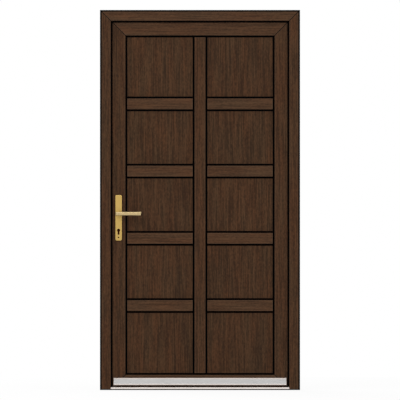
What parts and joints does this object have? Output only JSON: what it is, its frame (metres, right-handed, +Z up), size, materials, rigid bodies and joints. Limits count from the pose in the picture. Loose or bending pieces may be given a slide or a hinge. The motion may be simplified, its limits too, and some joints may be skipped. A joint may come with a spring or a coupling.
{
  "type": "panelled front door",
  "caption": "Inward-opening panelled front door in its frame, with a bar grid, flat infill panels, long-plate lever handle, hook lock, hinges, weather bar and low threshold.",
  "frame": {"origin": "middle of the threshold's underside, at the middle of the frame's depth", "axes": "+X right seen from outdoors, +Y into the house, +Z up"},
  "size_m": [1.1, 0.204, 2.09],
  "materials": {
    "foil_upright": "satin",
    "foil_level": "satin",
    "panel_foil": "satin",
    "bead_foil": "satin",
    "black_rubber": "matte",
    "galvanised_steel": "satin",
    "black_plastic": "matte",
    "aluminium": "satin",
    "grey_plastic": "satin",
    "gold_plate": "satin",
    "gold_lever": "satin",
    "dark_brass": "satin",
    "hinge_brown": "satin",
    "lock_steel": "satin"
  },
  "bodies": {
    "frame": {"left_jamb": "foil_upright", "right_jamb": "foil_upright", "head": "foil_level", "frame_steels": "galvanised_steel", "frame_gasket": "black_rubber", "threshold_base": "black_plastic", "threshold_cover": "aluminium", "main_keep": "lock_steel", "hook_keeps": "lock_steel", "hinge_frame_brackets": "hinge_brown", "hinge_pins": "lock_steel", "frame_screws": "lock_steel"},
    "leaf": {"lock_stile": "foil_upright", "hinge_stile": "foil_upright", "top_rail": "foil_level", "bottom_rail": "foil_level", "leaf_steels": "galvanised_steel", "centre_bar": "foil_upright", "cross_bar_left_1": "foil_level", "cross_bar_right_1": "foil_level", "cross_bar_left_2": "foil_level", "cross_bar_right_2": "foil_level", "cross_bar_left_3": "foil_level", "cross_bar_right_3": "foil_level", "cross_bar_left_4": "foil_level", "cross_bar_right_4": "foil_level", "panel_left_1": "panel_foil", "panel_right_1": "panel_foil", "panel_left_2": "panel_foil", "panel_right_2": "panel_foil", "panel_left_3": "panel_foil", "panel_right_3": "panel_foil", "panel_left_4": "panel_foil", "panel_right_4": "panel_foil", "panel_left_5": "panel_foil", "panel_right_5": "panel_foil", "panel_gaskets": "black_rubber", "glazing_beads": "bead_foil", "leaf_gasket": "black_rubber", "weather_bar": "aluminium", "weather_bar_end_caps": "grey_plastic", "hinge_leaf_brackets": "hinge_brown", "hinge_bushes": "black_plastic", "lock_faceplate": "lock_steel", "gearbox_case": "galvanised_steel", "hook_cases": "galvanised_steel", "cylinder_body": "dark_brass", "outside_plate": "gold_plate", "inside_plate": "gold_plate", "leaf_screws": "lock_steel"},
    "lever": {"outside_lever": "gold_lever", "inside_lever": "gold_lever", "spindle": "lock_steel", "follower": "lock_steel"},
    "latch": {"latch_bolt": "lock_steel"},
    "deadbolt": {"deadbolt": "lock_steel"},
    "upper_hook": {"upper_hook": "lock_steel"},
    "lower_hook": {"lower_hook": "lock_steel"},
    "drive_rods": {"drive_rods": "galvanised_steel"},
    "key_plug": {"key_plug": "dark_brass"}
  },
  "joints": [
    {"name": "door_swing", "type": "hinge", "parent": "frame", "child": "leaf", "pos_m": [0.527, 0.0678, 1.045], "axis": [0, 0, -1], "range_deg": [0, 100]},
    {"name": "lever_turn", "type": "hinge", "parent": "leaf", "child": "lever", "pos_m": [-0.448, 0.0245, 0.97], "axis": [0, 1, 0], "range_deg": [0, 40], "stiffness_Nm_per_rad": 1.5, "springref_deg": -34.38},
    {"name": "latch_slide", "type": "slide", "parent": "leaf", "child": "latch", "axis": [1, 0, 0], "range_m": [0, 0.013]},
    {"name": "key_turn", "type": "hinge", "parent": "leaf", "child": "key_plug", "pos_m": [-0.448, 0.0245, 0.878], "axis": [0, -1, 0], "range_deg": [0, 360]},
    {"name": "deadbolt_slide", "type": "slide", "parent": "leaf", "child": "deadbolt", "axis": [-1, 0, 0], "range_m": [0, 0.02]},
    {"name": "upper_hook_turn", "type": "hinge", "parent": "leaf", "child": "upper_hook", "pos_m": [-0.478, 0.0245, 1.654], "axis": [0, -1, 0], "range_deg": [0, 90]},
    {"name": "lower_hook_turn", "type": "hinge", "parent": "leaf", "child": "lower_hook", "pos_m": [-0.478, 0.0245, 0.32], "axis": [0, 1, 0], "range_deg": [0, 90]},
    {"name": "drive_rod_slide", "type": "slide", "parent": "leaf", "child": "drive_rods", "axis": [0, 0, 1], "range_m": [0, 0.01]}
  ],
  "couplings": [
    {"joint": "latch_slide", "follows": "lever_turn", "m_per_rad": 0.0186},
    {"joint": "deadbolt_slide", "follows": "drive_rod_slide", "ratio": 1.999},
    {"joint": "upper_hook_turn", "follows": "drive_rod_slide", "rad_per_m": 157},
    {"joint": "lower_hook_turn", "follows": "drive_rod_slide", "rad_per_m": 157},
    {"joint": "key_turn", "follows": "drive_rod_slide", "rad_per_m": 628}
  ]
}
